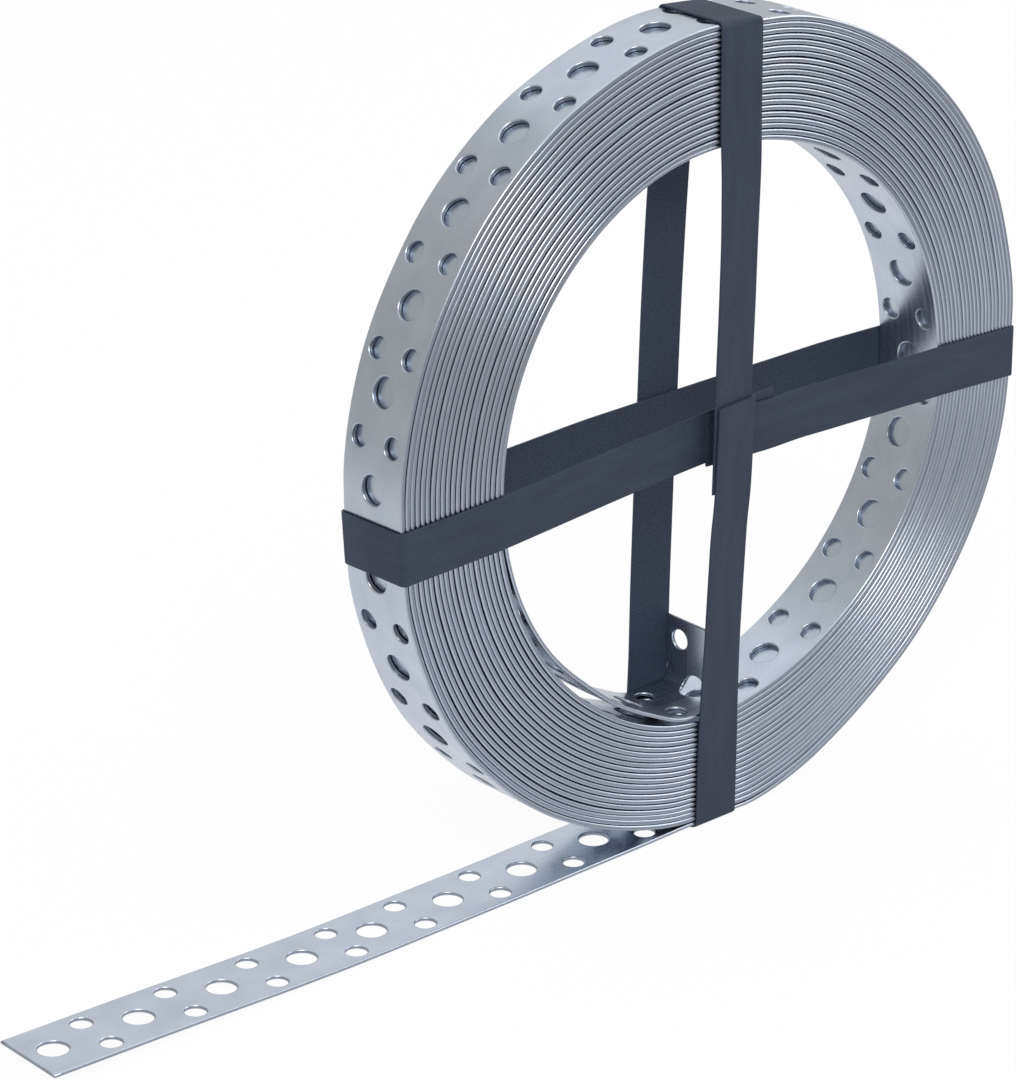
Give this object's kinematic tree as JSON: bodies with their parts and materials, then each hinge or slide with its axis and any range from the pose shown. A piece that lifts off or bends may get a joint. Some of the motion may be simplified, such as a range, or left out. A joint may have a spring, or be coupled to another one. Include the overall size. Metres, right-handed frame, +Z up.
{
  "type": "coil of perforated metal strap",
  "caption": "Coil of galvanised perforated steel strap standing on its rim, its free end laid flat, held by two crossed plastic packing bands.",
  "frame": {"origin": "on the floor, under the coil's axis, midway across the strap", "axes": "+Z up; +Y along the coil's axis, away from the front; the free end runs out along -X"},
  "size_m": [0.2932, 0.0248, 0.1979],
  "materials": {
    "galvanised_steel": "zinc coated, satin, with bright rolled edges",
    "band_plastic": "embossed, dark slate"
  },
  "bodies": {
    "root": {"perforated_strap": "galvanised_steel", "upright_packing_band": "band_plastic", "level_packing_band": "band_plastic"}
  },
  "joints": []
}
